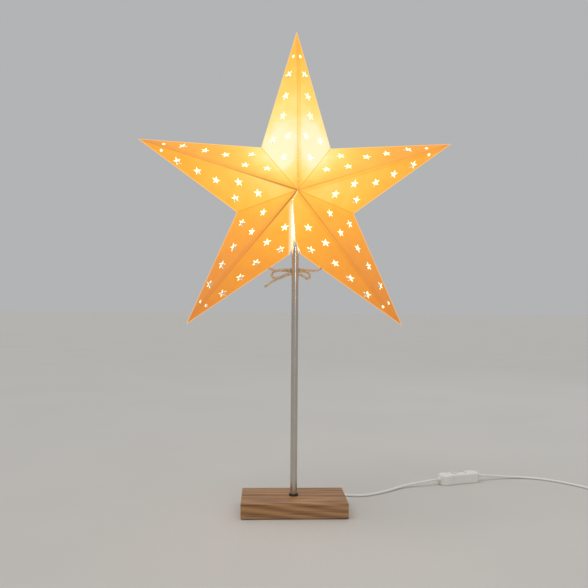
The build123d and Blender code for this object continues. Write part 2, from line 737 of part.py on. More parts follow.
with BuildPart() as rocker_level:
    with BuildSketch(pivot_plane):
        with BuildLine():
            half = ROCKER_LENGTH / 2
            Line((-half, -4.0), (-half, -0.5))
            Line((-half, -0.5), (-8.0, 3.2))
            Line((-8.0, 3.2), (8.0, 3.2))
            Line((8.0, 3.2), (half, -0.5))
            Line((half, -0.5), (half, -4.0))
            ThreePointArc((half, -4.0), (0, -2.4), (-half, -4.0))
        make_face()
    extrude(amount=ROCKER_WIDTH / 2, both=True)
    fillet(rocker_level.edges().filter_by(Axis(origin=(0, 0, 0), direction=pivot_plane.z_dir)), 0.6)
    with BuildSketch(pivot_plane):
        Circle(PIVOT_RADIUS + FIT)
    extrude(amount=ROCKER_WIDTH, both=True, mode=Mode.SUBTRACT)
pivot_axis = Axis(origin=pivot_plane.origin, direction=pivot_plane.z_dir)
save(rocker_level.part.rotate(pivot_axis, ROCKER_THROW / 2), "switch_rocker")

with BuildPart() as switch_screws:
    with BuildSketch(switch_plane(0.6)):
        with Locations(*screw_places):
            Circle(1.5)
    extrude(amount=12.0)
save(switch_screws.part, "switch_screws")

TERMINAL_PLACES = [(20.0, 5.0), (-20.0, 5.0)]
with BuildPart() as switch_terminals:
    with BuildSketch(switch_plane(CASE_WALL)):
        with Locations(*TERMINAL_PLACES):
            Rectangle(8.0, 4.0)
    extrude(amount=4.0)
save(switch_terminals.part, "switch_terminals")

with BuildPart() as switch_neutral_link:
    with BuildSketch(Plane(origin=switch_plane(4.0).from_local_coords((-30.0, -4.0, 0)),
                           z_dir=switch_axis)):
        Circle(WIRE_RADIUS)
    extrude(amount=60.0)
save(switch_neutral_link.part, "switch_neutral_link")

with BuildPart() as switch_nozzles:
    for side in (-1, 1):
        nozzle_mouth = Plane(origin=switch_middle + switch_axis * side * switch_reach, z_dir=switch_axis * -side)
        with BuildSketch(nozzle_mouth):
            Circle(NOZZLE_RADIUS - 0.6)
        with BuildSketch(nozzle_mouth.offset(NOZZLE)):
            Circle(NOZZLE_RADIUS)
        loft()
        with BuildSketch(nozzle_mouth.offset(NOZZLE)):
            Circle(NOZZLE_RADIUS)
        extrude(amount=NOZZLE_ROOT)
save(switch_nozzles.part, "switch_nozzles")

# ---------------------------------------------------------------- plug
PLUG_LEVEL = PLUG_THICKNESS / 2 + 0.1
PLUG_BOOT_LENGTH = 22.0
PLUG_REAR = (570.5, 142.0)
coil_exit = (COIL_CENTRE[0] + COIL_OUTER - FLEX_RADIUS, COIL_CENTRE[1], COIL_FOOT + COIL_HEIGHT - FLEX_RADIUS)
TAIL_ROUTE = [
    coil_exit,
    (coil_exit[0] + 0.5, 84.0, 7.9),
    (570.0, 101.0, 7.3),
    (PLUG_REAR[0], PLUG_REAR[1] - PLUG_BOOT_LENGTH, PLUG_LEVEL),
]
save(cord_tube(TAIL_ROUTE, FLEX_RADIUS, "flex from coil to plug"), "flex_coil_to_plug")

plug_rear = Plane(origin=(*PLUG_REAR, PLUG_LEVEL), x_dir=(1, 0, 0), z_dir=(0, 1, 0))
PLUG_SHOULDER = 20.0
with BuildPart() as plug_body:
    with BuildSketch(plug_rear):
        RectangleRounded(13.0, 10.5, 4.5)
    with BuildSketch(plug_rear.offset(PLUG_SHOULDER)):
        RectangleRounded(PLUG_WIDTH, PLUG_THICKNESS, 4.5)
    loft()
    with BuildSketch(plug_rear.offset(PLUG_SHOULDER)):
        RectangleRounded(PLUG_WIDTH, PLUG_THICKNESS, 4.5)
    extrude(amount=PLUG_LENGTH - PLUG_SHOULDER)
    fillet(plug_body.faces().sort_by(Axis.Y)[-1].edges(), 0.8)
save(plug_body.part, "plug_body")

with BuildPart() as plug_boot:
    with BuildSketch(plug_rear.offset(-PLUG_BOOT_LENGTH)):
        Circle(FLEX_RADIUS + 0.9)
    with BuildSketch(plug_rear):
        Circle(5.0)
    loft()
save(plug_boot.part, "plug_boot")

SLEEVE_RADIUS = 1.75
PIN_CORE_RADIUS = 1.3
plug_face = plug_rear.offset(PLUG_LENGTH)
pin_places = [(-PIN_SPACING / 2, 0), (PIN_SPACING / 2, 0)]
with BuildPart() as plug_sleeves:
    with BuildSketch(plug_face):
        with Locations(*pin_places):
            Circle(SLEEVE_RADIUS)
            Circle(PIN_CORE_RADIUS, mode=Mode.SUBTRACT)
    extrude(amount=SLEEVE_LENGTH)
save(plug_sleeves.part, "plug_pin_sleeves")

with BuildPart() as plug_pins:
    with BuildSketch(plug_face):
        with Locations(*pin_places):
            Circle(PIN_CORE_RADIUS - FIT)
    extrude(amount=SLEEVE_LENGTH)
    with BuildSketch(plug_face.offset(SLEEVE_LENGTH)):
        with Locations(*pin_places):
            Circle(PIN_RADIUS)
    extrude(amount=PIN_LENGTH - SLEEVE_LENGTH)
    fillet(plug_pins.faces().sort_by(Axis.Y)[-2:].edges(), 1.2)
save(plug_pins.part, "plug_pins")
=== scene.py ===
import json
import math
import random

import bmesh
import bpy
from mathutils import Matrix, Vector

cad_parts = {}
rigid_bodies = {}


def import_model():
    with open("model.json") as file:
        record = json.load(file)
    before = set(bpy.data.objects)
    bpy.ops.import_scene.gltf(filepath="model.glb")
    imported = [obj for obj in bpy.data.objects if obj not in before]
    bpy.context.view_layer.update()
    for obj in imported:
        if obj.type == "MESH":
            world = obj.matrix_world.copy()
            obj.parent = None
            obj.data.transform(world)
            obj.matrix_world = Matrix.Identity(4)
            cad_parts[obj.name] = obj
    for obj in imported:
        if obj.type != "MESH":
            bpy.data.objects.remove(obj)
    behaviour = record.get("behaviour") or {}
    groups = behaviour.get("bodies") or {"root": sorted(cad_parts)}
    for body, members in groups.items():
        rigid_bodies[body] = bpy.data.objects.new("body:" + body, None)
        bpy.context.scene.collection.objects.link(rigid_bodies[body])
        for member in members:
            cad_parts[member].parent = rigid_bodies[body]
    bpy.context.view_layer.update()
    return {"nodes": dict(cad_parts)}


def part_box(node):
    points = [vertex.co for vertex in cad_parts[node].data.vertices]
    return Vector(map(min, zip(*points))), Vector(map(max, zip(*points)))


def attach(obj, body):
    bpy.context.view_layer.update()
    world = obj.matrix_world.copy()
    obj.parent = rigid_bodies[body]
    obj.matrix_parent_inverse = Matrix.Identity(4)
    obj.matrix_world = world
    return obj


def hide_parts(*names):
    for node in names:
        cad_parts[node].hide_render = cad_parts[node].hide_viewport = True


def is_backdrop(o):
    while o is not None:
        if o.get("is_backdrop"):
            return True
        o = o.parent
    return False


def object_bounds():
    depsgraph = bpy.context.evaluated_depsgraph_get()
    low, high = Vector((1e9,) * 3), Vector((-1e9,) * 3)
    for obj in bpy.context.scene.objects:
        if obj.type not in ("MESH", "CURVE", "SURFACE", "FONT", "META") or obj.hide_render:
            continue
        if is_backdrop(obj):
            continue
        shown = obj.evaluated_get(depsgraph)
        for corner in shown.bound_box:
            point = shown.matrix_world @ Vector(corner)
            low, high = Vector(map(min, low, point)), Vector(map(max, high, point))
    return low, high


# Paper star table lamp, lit. Metres, in the CAD frame: +Z up the pole, the star faces -Y.
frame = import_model()
nodes = frame["nodes"]

# ---------------------------------------------------------------- camera
CAMERA_PLACE = (-0.0452, -1.050, 0.294)
CAMERA_LENS = 44.33
SENSOR_WIDTH = 36.0
# degrees of turn from looking level along +Y
CAMERA_YAW = -2.39
CAMERA_PITCH = 1.03
CAMERA_ROLL = -0.41


def turn_about(axis, degrees):
    return Matrix.Rotation(math.radians(degrees), 4, axis)


camera_data = bpy.data.cameras.new("camera")
camera_data.lens = CAMERA_LENS
camera_data.sensor_width = SENSOR_WIDTH
camera = bpy.data.objects.new("camera", camera_data)
camera_turn = (
    turn_about("Z", CAMERA_YAW)
    @ turn_about("X", CAMERA_PITCH)
    @ turn_about("Y", CAMERA_ROLL)
    @ turn_about("X", 90)
)
camera.matrix_world = Matrix.Translation(CAMERA_PLACE) @ camera_turn
bpy.context.scene.collection.objects.link(camera)
bpy.context.scene.camera = camera


# ---------------------------------------------------------------- mesh helpers
# above this upward share a line counts as upright, so its section is set from +X
STEEP = 0.9


def mesh_object(name, vertices, faces, smooth=True):
    """A mesh piece with its normals pointing outwards."""
    mesh = bpy.data.meshes.new(name)
    mesh.from_pydata([tuple(v) for v in vertices], [], faces)
    form = bmesh.new()
    form.from_mesh(mesh)
    bmesh.ops.recalc_face_normals(form, faces=form.faces)
    form.to_mesh(mesh)
    form.free()
    mesh.polygons.foreach_set("use_smooth", [smooth] * len(mesh.polygons))
    piece = bpy.data.objects.new(name, mesh)
    bpy.context.scene.collection.objects.link(piece)
    return piece


def smooth_line(points, resolution=8):
    """Points along the smooth NURBS spline of a cord's route."""
    data = bpy.data.curves.new("route", "CURVE")
    data.dimensions = "3D"
    spline = data.splines.new("NURBS")
    spline.points.add(len(points) - 1)
    for control, place in zip(spline.points, points):
        control.co = (*place, 1.0)
    spline.order_u = 3
    spline.use_endpoint_u = True
    data.resolution_u = resolution
    route = bpy.data.objects.new("route", data)
    line = bpy.data.meshes.new_from_object(route)
    places = [v.co.copy() for v in line.vertices]
    bpy.data.objects.remove(route)
    bpy.data.curves.remove(data)
    bpy.data.meshes.remove(line)
    return places


def sweep(name, line, section, upright=True):
    """A tube along a line. section(distance along it) gives the (across, up) places of its outline.

    An upright tube keeps its section level, and another turns it as little as it can.
    """
    vertices = []
    travelled = 0.0
    side = None
    for i, place in enumerate(line):
        ahead = (line[min(i + 1, len(line) - 1)] - line[max(i - 1, 0)]).normalized()
        if i:
            travelled += (place - line[i - 1]).length
        if upright or side is None:
            start = Vector((0, 0, 1)) if abs(ahead.z) < STEEP else Vector((1, 0, 0))
            side = ahead.cross(start).normalized()
        else:
            side = (side - ahead * side.dot(ahead)).normalized()
        up = side.cross(ahead)
        vertices += [place + side * across + up * rise for across, rise in section(travelled)]
    count = len(section(0.0))
    faces = []
    for ring in range(len(line) - 1):
        for k in range(count):
            a = ring * count + k
            b = ring * count + (k + 1) % count
            faces.append((a, b, b + count, a + count))
    faces.append(tuple(range(count)))
    faces.append(tuple(range(len(vertices) - count, len(vertices))))
    return mesh_object(name, vertices, faces)


# ---------------------------------------------------------------- flex on the table
# flat two-core flex, lying on its wide side
FLEX_WIDTH = 0.0050
FLEX_THICKNESS = 0.0034
FLEX_LEVEL = 0.0019
OUTLINE_STEPS = 24
SKIN_SQUARENESS = 0.62
WAIST_DEPTH = 0.07
WAIST_WIDTH = 0.0006
BASE_EXIT = (0.0, 0.0665, 0.00375)
SWITCH_MOUTH_NEAR = (0.24568, 0.14905, 0.0090)
SWITCH_MOUTH_FAR = (0.32492, 0.17695, 0.0090)
LEAD_ROUTE = [
    BASE_EXIT,
    (0.002, 0.086, 0.0026),
    (0.016, 0.106, FLEX_LEVEL),
    (0.041, 0.110, FLEX_LEVEL),
    (0.062, 0.095, FLEX_LEVEL),
    (0.082, 0.079, FLEX_LEVEL),
    (0.106, 0.074, FLEX_LEVEL),
    (0.128, 0.083, FLEX_LEVEL),
    (0.156, 0.104, FLEX_LEVEL),
    (0.187, 0.133, 0.0032),
    (0.22305, 0.14108, 0.0074),
    SWITCH_MOUTH_NEAR,
]
RUN_ROUTE = [
    SWITCH_MOUTH_FAR,
    (0.34472, 0.18393, 0.0072),
    (0.373, 0.191, 0.0034),
    (0.405, 0.193, FLEX_LEVEL),
    (0.437, 0.179, FLEX_LEVEL),
    (0.460, 0.157, FLEX_LEVEL),
    (0.477, 0.134, FLEX_LEVEL),
    (0.490, 0.110, FLEX_LEVEL),
    (0.4965, 0.088, FLEX_LEVEL),
]
COIL_MIDDLE = Vector((0.532, 0.070, 0.0))
COIL_RADIUS = 0.0355
COIL_PITCH = 0.0051
COIL_TURNS = 6.5
INNER_TURN = 3.0
CLIMB_TURNS = 0.5
POINTS_PER_TURN = 16
TURN_GAP = 0.0002
UPPER_LEVEL = FLEX_LEVEL + FLEX_THICKNESS + TURN_GAP
TAIL_ROUTE = [
    (0.568, 0.084, UPPER_LEVEL),
    (0.570, 0.101, 0.0060),
    (0.5705, 0.120, 0.00695),
]


def coil_points():
    """Turns that wind inwards on the table, then outwards on top of the first ones."""
    points = []
    for step in range(int(COIL_TURNS * POINTS_PER_TURN) + 1):
        turn = step / POINTS_PER_TURN
        inward = min(turn, 2 * INNER_TURN - turn)
        radius = COIL_RADIUS - COIL_PITCH * max(inward, 0.0)
        climb = min(max((turn - INNER_TURN + CLIMB_TURNS / 2) / CLIMB_TURNS, 0.0), 1.0)
        level = FLEX_LEVEL + climb * (UPPER_LEVEL - FLEX_LEVEL)
        angle = math.pi + 2 * math.pi * turn
        place = Vector((radius * math.cos(angle), radius * math.sin(angle), level))
        points.append(COIL_MIDDLE + place)
    return points


def flex_section(_travelled):
    """Two cores side by side under one skin, with a shallow waist between them."""
    half_width = FLEX_WIDTH / 2
    half_height = FLEX_THICKNESS / 2
    outline = []
    for step in range(OUTLINE_STEPS):
        angle = 2 * math.pi * step / OUTLINE_STEPS
        across = half_width * math.cos(angle)
        lift = abs(math.sin(angle)) ** SKIN_SQUARENESS
        waist = 1.0 - WAIST_DEPTH * math.exp(-((across / WAIST_WIDTH) ** 2))
        outline.append((across, math.copysign(half_height * lift * waist, math.sin(angle))))
    return outline


RUN_RESOLUTION = 5
lead_line = smooth_line(LEAD_ROUTE)
flex_lead = sweep("flex_lead", lead_line, flex_section)
run_line = smooth_line(RUN_ROUTE + coil_points() + TAIL_ROUTE, RUN_RESOLUTION)
flex_run = sweep("flex_run", run_line, flex_section)

BAND_HALF_LENGTH = 0.004
BAND_THICKNESS = 0.0009
BAND_GAP = 0.0002
BAND_FOOT = 0.0001
BAND_STEPS = 40
BAND_SQUARENESS = 0.8


def wrapped_band():
    """The band that holds the coil, wrapped close round its turns on their front side."""
    inner = COIL_RADIUS - COIL_PITCH * INNER_TURN - FLEX_WIDTH / 2 - BAND_GAP
    outer = COIL_RADIUS + FLEX_WIDTH / 2 + BAND_GAP
    top = UPPER_LEVEL + FLEX_THICKNESS / 2 + BAND_GAP
    vertices = []
    for edge in (-1, 1):
        for skin in (0.0, BAND_THICKNESS):
            for step in range(BAND_STEPS):
                angle = 2 * math.pi * step / BAND_STEPS
                square = max(abs(math.cos(angle)), abs(math.sin(angle))) ** BAND_SQUARENESS
                reach = (outer - inner) / 2 + skin
                rise = (top - BAND_FOOT) / 2
                if math.sin(angle) > 0:
                    rise += skin
                across = (outer + inner) / 2 + reach * math.cos(angle) / square
                up = max((top + BAND_FOOT) / 2 + rise * math.sin(angle) / square, BAND_FOOT)
                vertices.append(COIL_MIDDLE + Vector((edge * BAND_HALF_LENGTH, -across, up)))
    rows = [row * BAND_STEPS for row in range(4)]
    faces = []
    for step in range(BAND_STEPS):
        following = (step + 1) % BAND_STEPS
        for low, high in ((0, 1), (2, 3), (0, 2), (1, 3)):
            faces.append((rows[low] + step, rows[low] + following,
                          rows[high] + following, rows[high] + step))
    return mesh_object("coil_band", vertices, faces)


coil_band = wrapped_band()

for piece, replaced in (
    (flex_lead, ["flex_base_to_switch"]),
    (flex_run, ["flex_switch_to_coil", "flex_coil", "flex_coil_to_plug"]),
    (coil_band, ["coil_tie"]),
):
    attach(piece, "stand")
    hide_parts(*replaced)

# ---------------------------------------------------------------- tie
TWINE_RADIUS = 0.0018
TWINE_LAY = 0.0085
TWINE_STEPS = 18
STRANDS = 3
STRAND_RELIEF = 0.16
TWINE_RESOLUTION = 14
KNOT = Vector((0.0, 0.0093, 0.3462))
STAR_CENTRE = Vector((0, 0, 0.4536))


def twine_section(travelled):
    """Three strands laid together, turning once per lay."""
    turn = 2 * math.pi * travelled / TWINE_LAY
    outline = []
    for step in range(TWINE_STEPS):
        angle = 2 * math.pi * step / TWINE_STEPS
        bulge = abs(math.cos(STRANDS / 2 * (angle - turn)))
        radius = TWINE_RADIUS * (1.0 - STRAND_RELIEF + STRAND_RELIEF * bulge)
        outline.append((radius * math.cos(angle), radius * math.sin(angle)))
    return outline


def twine(name, route, *replaced):
    """A length of twine along its route."""
    line = smooth_line(route, TWINE_RESOLUTION)
    piece = sweep(name, line, twine_section, upright=False)
    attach(piece, "star")
    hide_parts(*replaced)
    return piece, line


TIE_ROUTES = {
    "left_loop": [
        (-0.0036, 0.0093, 0.3462),
        (-0.0130, 0.0126, 0.3470),
        (-0.0230, 0.0132, 0.3478),
        (-0.0305, 0.0130, 0.3462),
        (-0.0345, 0.0128, 0.3415),
        (-0.0325, 0.0124, 0.3366),
        (-0.0260, 0.0116, 0.3362),
        (-0.0160, 0.0096, 0.3402),
        (-0.0090, 0.0078, 0.3426),
        (-0.0036, 0.0073, 0.3429),
    ],
    "left_end": [
        (-0.0036, 0.0112, 0.3429),
        (-0.0110, 0.0135, 0.3415),
        (-0.0200, 0.0158, 0.3375),
        (-0.0290, 0.0155, 0.3332),
        (-0.0375, 0.0145, 0.3286),
        (-0.0410, 0.0140, 0.3252),
    ],
    "right_loop": [
        (0.0036, 0.0093, 0.3462),
        (0.0095, 0.0120, 0.3466),
        (0.0160, 0.0122, 0.3460),
        (0.0215, 0.0114, 0.3432),
        (0.0230, 0.0110, 0.3386),
        (0.0195, 0.0102, 0.3358),
        (0.0145, 0.0092, 0.3376),
        (0.0090, 0.0079, 0.3416),
        (0.0036, 0.0073, 0.3429),
    ],
    "right_end": [
        (0.0036, 0.0112, 0.3429),
        (0.0090, 0.0138, 0.3416),
        (0.0145, 0.0160, 0.3390),
        (0.0190, 0.0172, 0.3352),
    ],
}
# the strands come out of holes in the lower arms' folds
TIE_HOLE = (0.0383, 0.3498)
HOLE_RUN = 0.005
for side, name in ((-1, "left"), (1, "right")):
    low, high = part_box(f"tie_{name}_stopper_knot")
    stopper = (low + high) / 2
    hole = Vector((side * TIE_HOLE[0], 0.0, TIE_HOLE[1]))
    outward = (hole - stopper).normalized()
    TIE_ROUTES[f"{name}_strand"] = [
        tuple(hole - outward * HOLE_RUN),
        tuple(hole + outward * HOLE_RUN),
        (side * 0.0105, 0.0093, 0.3492),
        (side * 0.0036, 0.0093, 0.3492),
    ]

tie = {}
tie_lines = {}
for name, route in TIE_ROUTES.items():
    tie[name], tie_lines[name] = twine(f"twine_{name}", route, f"tie_{name}")

KNOT_STEPS_PER_TURN = 12
KNOT_TAPER = 0.25


def wound_knot(name, middle, radii, turns, *replaced):
    """A tight knot: one strand of twine wound round itself."""
    steps = int(turns * KNOT_STEPS_PER_TURN)
    route = []
    for step in range(steps + 1):
        angle = 2 * math.pi * step * turns / steps
        drift = (step / steps - 0.5) * 2
        route.append(
            Vector(middle)
            + Vector((
                radii[0] * drift,
                radii[1] * math.cos(angle),
                radii[2] * math.sin(angle) * (1.0 - KNOT_TAPER * drift * drift),
            ))
        )
    return twine(name, route, *replaced)[0]


tie_knot = wound_knot("twine_knot", KNOT, (0.0026, 0.0022, 0.0036), 3.0, "tie_knot")
for name in ("left", "right"):
    low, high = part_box(f"tie_{name}_stopper_knot")
    wound_knot(
        f"twine_{name}_stopper", (low + high) / 2, (0.0013, 0.0013, 0.0013), 2.5,
        f"tie_{name}_stopper_knot",
    )

FRAY_FIBRES = 26
FRAY_SPREAD = 0.42
FRAY_SIDES = 5
FRAY_ROOT_THICKNESS = 0.00030
FRAY_MIDDLE_THICKNESS = 0.00024
FRAY_LENGTHS = (0.0035, 0.0058)
FRAY_START = 0.0012
FRAY_ROOT_SPREAD = 0.0016


def frayed_end(name, line):
    """Where a twine's end is untwisted into a small brush of fibres."""
    random.seed(7)
    end_way = (line[-1] - line[-4]).normalized()
    vertices = []
    faces = []
    for _ in range(FRAY_FIBRES):
        spread = Vector([random.uniform(-1, 1) for _ in range(3)]) * FRAY_SPREAD
        way = (end_way + spread).normalized()
        root = line[-1] - end_way * FRAY_START + spread * FRAY_ROOT_SPREAD
        tip = root + way * random.uniform(*FRAY_LENGTHS)
        flank = way.orthogonal().normalized()
        other = way.cross(flank)
        first = len(vertices)
        for centre, thick in (
            (root, FRAY_ROOT_THICKNESS),
            (root.lerp(tip, 0.55), FRAY_MIDDLE_THICKNESS),
        ):
            for step in range(FRAY_SIDES):
                angle = 2 * math.pi * step / FRAY_SIDES
                vertices.append(centre + (flank * math.cos(angle) + other * math.sin(angle)) * thick)
        vertices.append(tip)
        for step in range(FRAY_SIDES):
            following = (step + 1) % FRAY_SIDES
            upper = first + FRAY_SIDES
            faces.append((first + step, first + following, upper + following, upper + step))
            faces.append((upper + step, upper + following, upper + FRAY_SIDES))
    return mesh_object(name, vertices, faces)


tie_fray = frayed_end("twine_left_fray", tie_lines["left_end"])
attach(tie_fray, "star")

# ---------------------------------------------------------------- material helpers
class Net:
    """One procedural material: a Principled shader and the nodes that feed it."""

    def __init__(self, name, colour=(0.8, 0.8, 0.8), roughness=0.5, metallic=0.0):
        self.material = bpy.data.materials.new(name)
        self.material.use_nodes = True
        self.tree = self.material.node_tree
        self.shader = next(n for n in self.tree.nodes if n.type == "BSDF_PRINCIPLED")
        self.set("Base Color", colour)
        self.set("Roughness", roughness)
        self.set("Metallic", metallic)
        self.place = self.add("ShaderNodeTexCoord")

    def add(self, kind, **settings):
        node = self.tree.nodes.new(kind)
        for key, value in settings.items():
            setattr(node, key, value)
        return node

    def feed(self, socket, value):
        if isinstance(value, bpy.types.NodeSocket):
            self.tree.links.new(value, socket)
        elif hasattr(value, "__len__") and socket.type == "RGBA" and len(value) == 3:
            socket.default_value = (*value, 1.0)
        else:
            socket.default_value = value

    def set(self, name, value):
        self.feed(self.shader.inputs[name], value)

    def maths(self, operation, a, b=0.0, clamp=False):
        node = self.add("ShaderNodeMath", operation=operation, use_clamp=clamp)
        self.feed(node.inputs[0], a)
        self.feed(node.inputs[1], b)
        return node.outputs[0]

    def vector(self, operation, a, b=(0.0, 0.0, 0.0), scale=None):
        node = self.add("ShaderNodeVectorMath", operation=operation)
        self.feed(node.inputs[0], a)
        self.feed(node.inputs[1], b)
        if scale is not None:
            self.feed(node.inputs["Scale"], scale)
        return node.outputs["Value" if operation in ("DOT_PRODUCT", "LENGTH") else "Vector"]

    def split(self, vector):
        node = self.add("ShaderNodeSeparateXYZ")
        self.feed(node.inputs[0], vector)
        return node.outputs

    def join(self, x, y, z):
        node = self.add("ShaderNodeCombineXYZ")
        for socket, value in zip(node.inputs, (x, y, z)):
            self.feed(socket, value)
        return node.outputs[0]

    def spread(self, value, low, high, to_low=0.0, to_high=1.0, smooth=True):
        node = self.add("ShaderNodeMapRange", interpolation_type="SMOOTHSTEP" if smooth else "LINEAR")
        for socket, number in zip(node.inputs, (value, low, high, to_low, to_high)):
            self.feed(socket, number)
        return node.outputs[0]

    def noise(self, scale, detail=3.0, stretch=(1.0, 1.0, 1.0), rough=0.5):
        stretched = self.vector("MULTIPLY", self.place.outputs["Object"], stretch)
        node = self.add("ShaderNodeTexNoise")
        self.feed(node.inputs["Vector"], stretched)
        self.feed(node.inputs["Scale"], scale)
        self.feed(node.inputs["Detail"], detail)
        self.feed(node.inputs["Roughness"], rough)
        return node.outputs["Fac"]

    def ramp(self, value, stops):
        node = self.add("ShaderNodeValToRGB")
        band = node.color_ramp
        while len(band.elements) < len(stops):
            band.elements.new(0.5)
        for element, (place, colour) in zip(band.elements, stops):
            element.position = place
            element.color = (*colour, 1.0)
        self.feed(node.inputs[0], value)
        return node.outputs[0]

    def mix(self, share, a, b, blend="MIX"):
        node = self.add("ShaderNodeMix", data_type="RGBA", blend_type=blend)
        colours = [s for s in node.inputs if s.type == "RGBA"]
        self.feed(node.inputs[0], share)
        self.feed(colours[0], a)
        self.feed(colours[1], b)
        return next(s for s in node.outputs if s.type == "RGBA")

    def bump(self, height, distance, strength=1.0):
        node = self.add("ShaderNodeBump")
        self.feed(node.inputs["Strength"], strength)
        self.feed(node.inputs["Distance"], distance)
        self.feed(node.inputs["Height"], height)
        self.feed(self.shader.inputs["Normal"], node.outputs[0])


def paint(material, *names):
    """Gives pieces or CAD nodes one material in all their slots."""
    for name in names:
        target = nodes.get(name) or bpy.data.objects[name]
        target.data.materials.clear()
        target.data.materials.append(material)


# ---------------------------------------------------------------- star
# the star's sheets, lit from inside by the bulb
TIP_RADIUS = 0.243
VALLEY_RADIUS = 0.088
SEAM_RADIUS = 0.079
HALF_DEPTH = 0.068
SEAM_TURN = 1.45
HALF_SECTOR = 34.95
UPPER_SPREAD = 0.45
LIGHT = Vector((0.0, 0.0, 0.485))
FRONT = STAR_CENTRE + Vector((0, -HALF_DEPTH, 0))
ARMS = {
    "top": 90.0,
    "right": 90.0 - 2 * HALF_SECTOR - UPPER_SPREAD,
    "lower_right": 90.0 - 4 * HALF_SECTOR,
    "lower_left": 90.0 + 4 * HALF_SECTOR,
    "left": 90.0 + 2 * HALF_SECTOR + UPPER_SPREAD,
}
VALLEYS = {
    "top_right": (90.0 - HALF_SECTOR - UPPER_SPREAD / 2, VALLEY_RADIUS),
    "right": (90.0 - 3 * HALF_SECTOR - UPPER_SPREAD / 2, VALLEY_RADIUS),
    "seam_right": (-90.0 + SEAM_TURN, SEAM_RADIUS),
    "seam_left": (270.0 - SEAM_TURN, SEAM_RADIUS),
    "left": (90.0 + 3 * HALF_SECTOR + UPPER_SPREAD / 2, VALLEY_RADIUS),
    "top_left": (90.0 + HALF_SECTOR + UPPER_SPREAD / 2, VALLEY_RADIUS),
}
# each sheet's arm and valley, how strong the painted shade in its ridge crease is at the middle of the
# star and at its tip, and whether it shows the painted shade of the glue flap of the sheet across the
# ridge
SHEETS = {
    "star_top_left_sheet": ("top", "top_left", 0.30, 0.22, False),
    "star_top_right_sheet": ("top", "top_right", 0.34, 0.22, True),
    "star_right_upper_sheet": ("right", "top_right", 0.36, 0.22, False),
    "star_right_lower_sheet": ("right", "right", 0.40, 0.25, True),
    "star_lower_right_outer_sheet": ("lower_right", "right", 0.50, 0.25, False),
    "star_lower_right_seam_sheet": ("lower_right", "seam_right", 0.50, 0.25, True),
    "star_lower_left_seam_sheet": ("lower_left", "seam_left", 0.95, 0.40, False),
    "star_lower_left_outer_sheet": ("lower_left", "left", 1.00, 0.40, True),
    "star_left_lower_sheet": ("left", "left", 0.85, 0.35, False),
    "star_left_upper_sheet": ("left", "top_left", 1.00, 0.40, True),
}
# the light on the paper: its level 0.1 m from the bulb, and how it changes with distance,
# with its slant to the paper, and with the bulb's height over the place
GLOW_LEVEL = 0.66
GLOW_DISTANCE = 0.1
GLOW_FALL = -0.339
GLOW_SLANT = 0.271
GLOW_BELOW = -0.35
LEAST_SLANT = 0.05
# how the light through the paper looks, from faint to strong
GLOW = [
    (0.16, (0.50, 0.130, 0.010)),
    (0.26, (0.70, 0.215, 0.016)),
    (0.34, (0.86, 0.310, 0.019)),
    (0.44, (0.96, 0.415, 0.025)),
    (0.56, (1.00, 0.535, 0.055)),
    (0.68, (1.00, 0.680, 0.150)),
    (0.78, (1.00, 0.780, 0.270)),
    (0.90, (1.00, 0.900, 0.580)),
]
INSIDE_GLOW = (1.0, 0.90, 0.60)
FOLD_GLOW = (1.0, 0.72, 0.33)
OUTSIDE_STRENGTH = 0.93
INSIDE_STRENGTH = 1.7
# painted shade in the ridge creases
RIDGE_SHADE = (0.42, 0.120, 0.006)
# painted light along the seam flap's edge, lit from inside
EDGE_GLOW = (1.0, 0.84, 0.50)
GLUE_FLAP_WIDTH = 0.0075
# how far along a ridge the painted shade in its crease fades and narrows
FADE_START = 0.02
FADE_END = 0.13
CREASE_WIDTHS = (0.0030, 0.0017)
NARROW_END = 0.12
# the slit between the seam's flap and the left lower arm: x and z of its ends
SLIT_TOP = (-0.0070, 0.4415)
SLIT_FOOT = (-0.0054, 0.3860)
# the corner and the foot of the seam's flap, which laps over the top of the slit
FLAP_CORNER = (SLIT_TOP[0] - 0.0003, -0.0619, SLIT_TOP[1] - 0.0006)
FLAP_FOOT = (-0.0012, -0.0102, 0.3872)


def star_point(angle, radius):
    turn = math.radians(angle)
    return STAR_CENTRE + Vector((math.cos(turn), 0, math.sin(turn))) * radius


def off_line(net, place, way):
    """Distance from the line through the middle of the star's face along a direction."""
    along = net.vector("DOT_PRODUCT", place, way)
    foot = net.vector("SCALE", way, scale=along)
    return along, net.vector("LENGTH", net.vector("SUBTRACT", place, foot))


